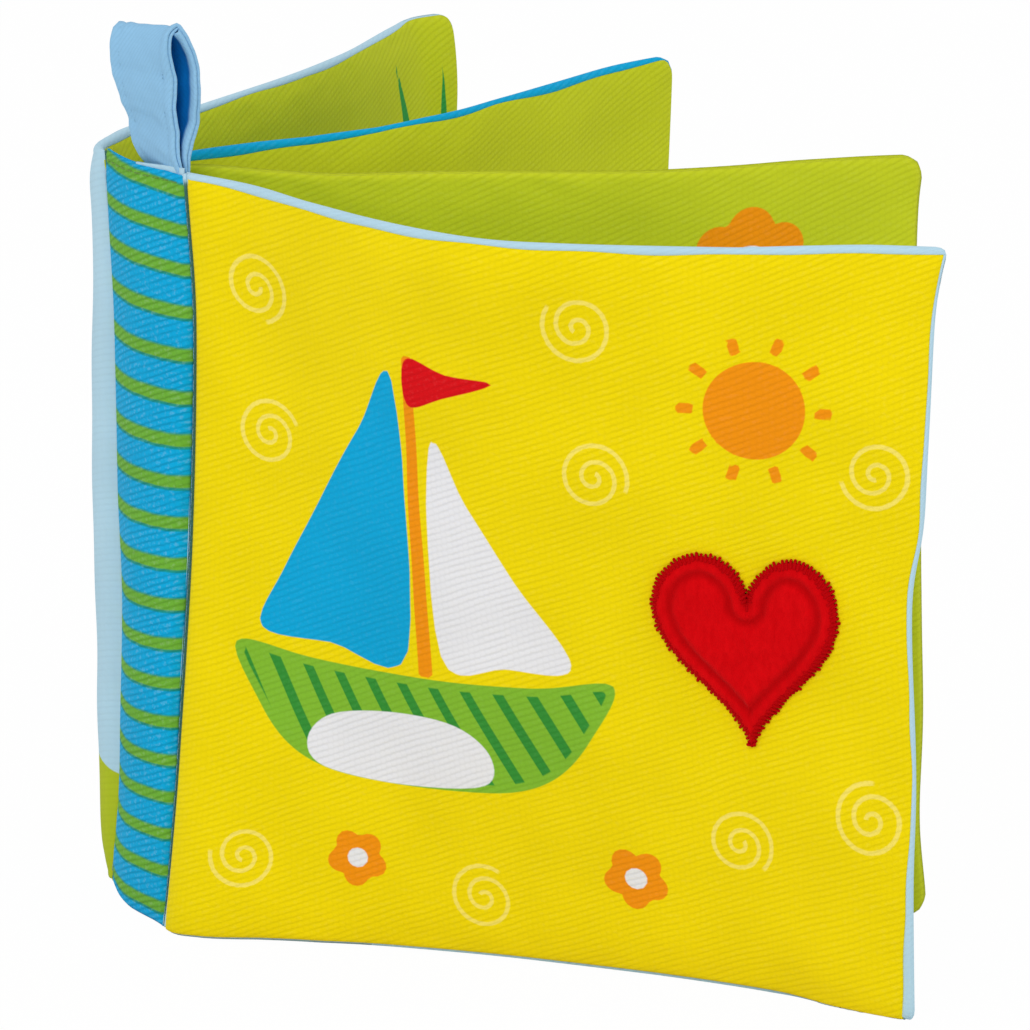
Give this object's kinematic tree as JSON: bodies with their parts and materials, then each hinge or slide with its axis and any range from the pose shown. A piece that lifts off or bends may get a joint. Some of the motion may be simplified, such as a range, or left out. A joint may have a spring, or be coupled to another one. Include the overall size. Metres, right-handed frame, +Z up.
{
  "type": "cloth book",
  "caption": "Soft cloth baby book standing half open, with padded crinkle covers and pages, a striped spine, a plush heart sewn to the front and a tape loop on top.",
  "frame": {"origin": "on the table under the middle of the spine, halfway between the two cover hinges", "axes": "+X from the spine towards the fore edges of the closed book, +Y from the front cover towards the back cover, +Z up"},
  "size_m": [0.1499, 0.2595, 0.1785],
  "materials": {
    "striped_cloth": "cotton twill, blue with green stripes",
    "pale_blue_cloth": "pale blue cotton twill",
    "lime_cloth": "lime green cotton twill",
    "yellow_cloth": "yellow cotton twill with a print",
    "blue_cloth": "bright blue cotton twill",
    "loop_tape": "light blue folded cotton tape",
    "seam_thread": "stitched seam",
    "red_plush": "red short-pile plush",
    "red_thread": "red zigzag stitching",
    "wadding": "polyester wadding",
    "crinkle_film": "thin crackling film"
  },
  "bodies": {
    "spine": {"spine_cloth": "striped_cloth", "spine_lining_front": "pale_blue_cloth", "spine_lining_back": "lime_cloth", "spine_wadding": "wadding", "front_hinge_seam": "seam_thread", "back_hinge_seam": "seam_thread", "page_binding": "lime_cloth"},
    "front_cover": {"front_cover_cloth": "yellow_cloth", "front_cover_lining": "pale_blue_cloth", "front_cover_wadding": "wadding", "front_cover_crinkle_film": "crinkle_film", "plush_heart": "red_plush", "plush_heart_edging": "red_thread"},
    "back_cover": {"back_cover_cloth": "pale_blue_cloth", "back_cover_lining": "lime_cloth", "back_cover_wadding": "wadding", "back_cover_crinkle_film": "crinkle_film"},
    "page_1": {"page_1_front_cloth": "lime_cloth", "page_1_back_cloth": "lime_cloth", "page_1_wadding": "wadding", "page_1_crinkle_film": "crinkle_film"},
    "page_2": {"page_2_front_cloth": "lime_cloth", "page_2_back_cloth": "blue_cloth", "page_2_wadding": "wadding", "page_2_crinkle_film": "crinkle_film"},
    "hang_loop": {"hang_loop": "loop_tape"}
  },
  "joints": [
    {"name": "front_cover_turn", "type": "hinge", "parent": "spine", "child": "front_cover", "pos_m": [0, -0.0155, 0], "axis": [0, 0, 1], "range_deg": [-85, 44]},
    {"name": "page_1_turn", "type": "hinge", "parent": "spine", "child": "page_1", "pos_m": [0.00322, -0.0026, 0], "axis": [0, 0, 1], "range_deg": [-45.1, 23.4]},
    {"name": "back_cover_turn", "type": "hinge", "parent": "spine", "child": "back_cover", "pos_m": [0, 0.0155, 0], "axis": [0, 0, 1], "range_deg": [-34, 96.5]},
    {"name": "page_2_turn", "type": "hinge", "parent": "spine", "child": "page_2", "pos_m": [0.00322, 0.0026, 0], "axis": [0, 0, 1], "range_deg": [-15.95, 45.2]},
    {"name": "hang_loop_flop", "type": "hinge", "parent": "spine", "child": "hang_loop", "pos_m": [-0.0018, -0.00791, 0.1515], "axis": [0, 1, 0], "range_deg": [-60, 60], "stiffness_Nm_per_rad": 0.004}
  ],
  "couplings": [
    {"joint": "page_1_turn", "follows": "front_cover_turn", "ratio": 0.53},
    {"joint": "page_2_turn", "follows": "back_cover_turn", "ratio": 0.4675}
  ]
}
